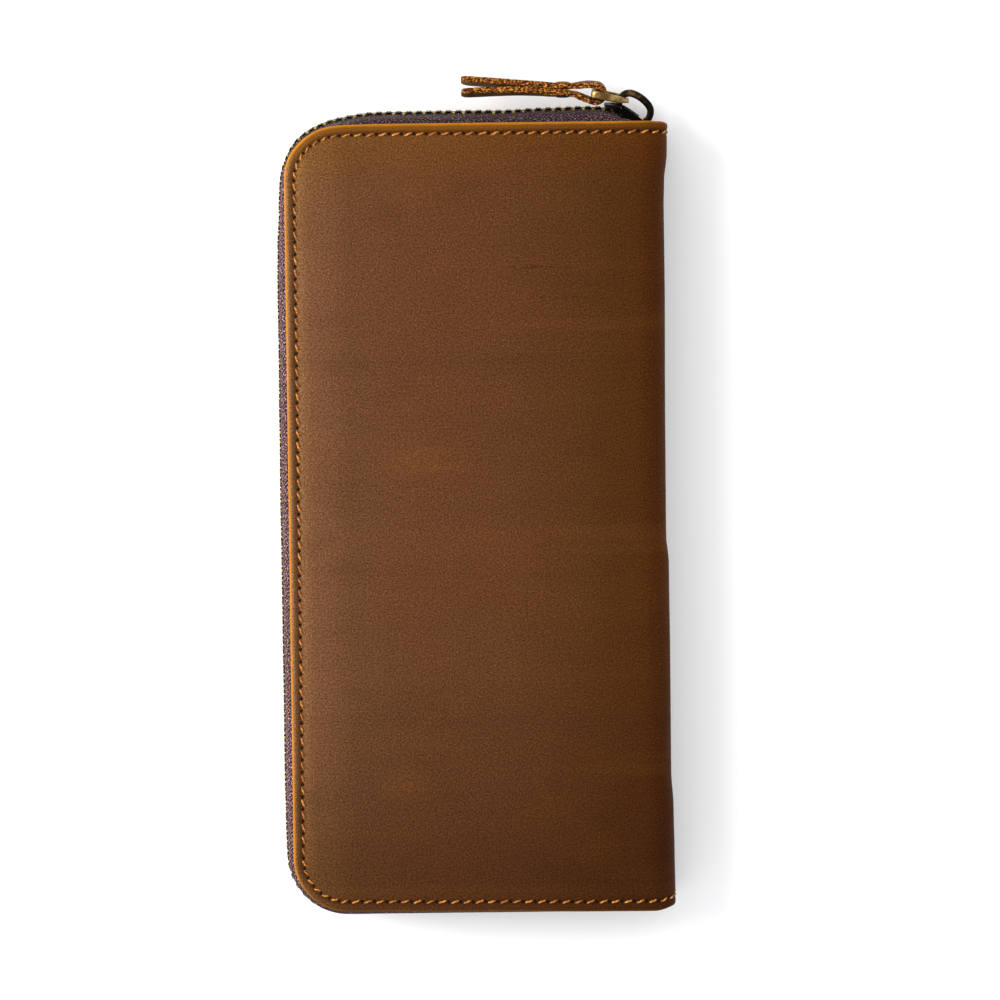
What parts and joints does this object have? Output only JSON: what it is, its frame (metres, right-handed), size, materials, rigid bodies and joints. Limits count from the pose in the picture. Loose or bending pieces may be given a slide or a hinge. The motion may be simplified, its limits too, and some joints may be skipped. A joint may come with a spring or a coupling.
{
  "type": "zip-around wallet",
  "caption": "Long zip-around wallet in oiled leather with card pockets, a zipped coin pocket and a leather strap pull.",
  "frame": {"origin": "middle of the back cover's outer face, on which the closed wallet lies", "axes": "+X from the zip side to the spine, +Y along the spine towards the end with the slider, +Z from the back cover to the front cover"},
  "size_m": [0.0986, 0.2121, 0.025],
  "materials": {
    "outer_leather": "oiled pull-up leather, dark brown with lighter worn edges",
    "pocket_leather": "thin smooth leather",
    "strap_leather": "raw-edged reddish brown leather",
    "lining": "fine twill",
    "board": "pressed board",
    "thread": "waxed orange-brown thread",
    "zip_tape": "herringbone tape, dark plum grey",
    "zip_teeth": "antique brass",
    "slider_metal": "dark antique brass",
    "link_metal": "brushed antique brass",
    "rivet_metal": "dull antique brass"
  },
  "bodies": {
    "back_cover": {"back_leather": "outer_leather", "back_board": "board", "back_lining": "lining", "back_thread": "thread", "back_zip_tape": "zip_tape", "back_zip_teeth": "zip_teeth", "back_zip_stops": "zip_teeth", "back_slip_pocket": "pocket_leather", "back_card_tier_1": "pocket_leather", "back_card_tier_2": "pocket_leather", "back_card_tier_3": "pocket_leather", "back_card_tier_4": "pocket_leather"},
    "spine": {"spine_leather": "outer_leather", "spine_lining": "lining", "spine_thread": "thread"},
    "front_cover": {"front_leather": "outer_leather", "front_board": "board", "front_lining": "lining", "front_thread": "thread", "front_zip_tape": "zip_tape", "front_zip_teeth": "zip_teeth", "front_zip_stops": "zip_teeth", "front_slip_pocket": "pocket_leather", "front_card_tier_1": "pocket_leather", "front_card_tier_2": "pocket_leather", "front_card_tier_3": "pocket_leather", "front_card_tier_4": "pocket_leather"},
    "coin_pocket": {"coin_wall_front": "pocket_leather", "coin_wall_back": "pocket_leather", "coin_frame": "pocket_leather", "coin_hinge_strip": "pocket_leather", "coin_zip_tape": "zip_tape", "coin_zip_teeth": "zip_teeth"},
    "coin_zip_slider": {"coin_slider": "slider_metal"},
    "coin_zip_pull": {"coin_pull": "link_metal"},
    "zip_slider": {"slider_body": "slider_metal", "slider_crown": "slider_metal"},
    "link": {"pull_link": "link_metal"},
    "strap": {"pull_strap": "strap_leather", "pull_rivet": "rivet_metal", "pull_rivet_cap": "rivet_metal"}
  },
  "joints": [
    {"name": "spine_fold", "type": "hinge", "parent": "back_cover", "child": "spine", "pos_m": [0.04671, 0, 0.00129], "axis": [0, 1, 0], "range_deg": [0, 90]},
    {"name": "cover_fold", "type": "hinge", "parent": "spine", "child": "front_cover", "pos_m": [0.04671, 0, 0.02371], "axis": [0, 1, 0], "range_deg": [0, 90]},
    {"name": "coin_pocket_fold", "type": "hinge", "parent": "spine", "child": "coin_pocket", "pos_m": [0.0452, 0, 0.0125], "axis": [0, 1, 0], "range_deg": [-54, 0]},
    {"name": "coin_zip_slide", "type": "slide", "parent": "coin_pocket", "child": "coin_zip_slider", "axis": [0, -1, 0], "range_m": [0, 0.144]},
    {"name": "coin_pull_swing", "type": "hinge", "parent": "coin_zip_slider", "child": "coin_zip_pull", "pos_m": [-0.027, 0.072, 0.01525], "axis": [-1, 0, 0], "range_deg": [0, 30]},
    {"name": "zip_slide", "type": "slide", "parent": "back_cover", "child": "zip_slider", "axis": [-1, 0, 0], "range_m": [0, 0.062]},
    {"name": "link_swing", "type": "hinge", "parent": "zip_slider", "child": "link", "pos_m": [0.0379, 0.1038, 0.0125], "axis": [0, 0, 1], "range_deg": [-95, 0]},
    {"name": "strap_swing", "type": "hinge", "parent": "link", "child": "strap", "pos_m": [0.02995, 0.10555, 0.0125], "axis": [0, 0, 1], "range_deg": [-75, 0]}
  ],
  "couplings": [
    {"joint": "cover_fold", "follows": "spine_fold", "ratio": 1},
    {"joint": "coin_pocket_fold", "follows": "spine_fold", "ratio": -0.6}
  ]
}
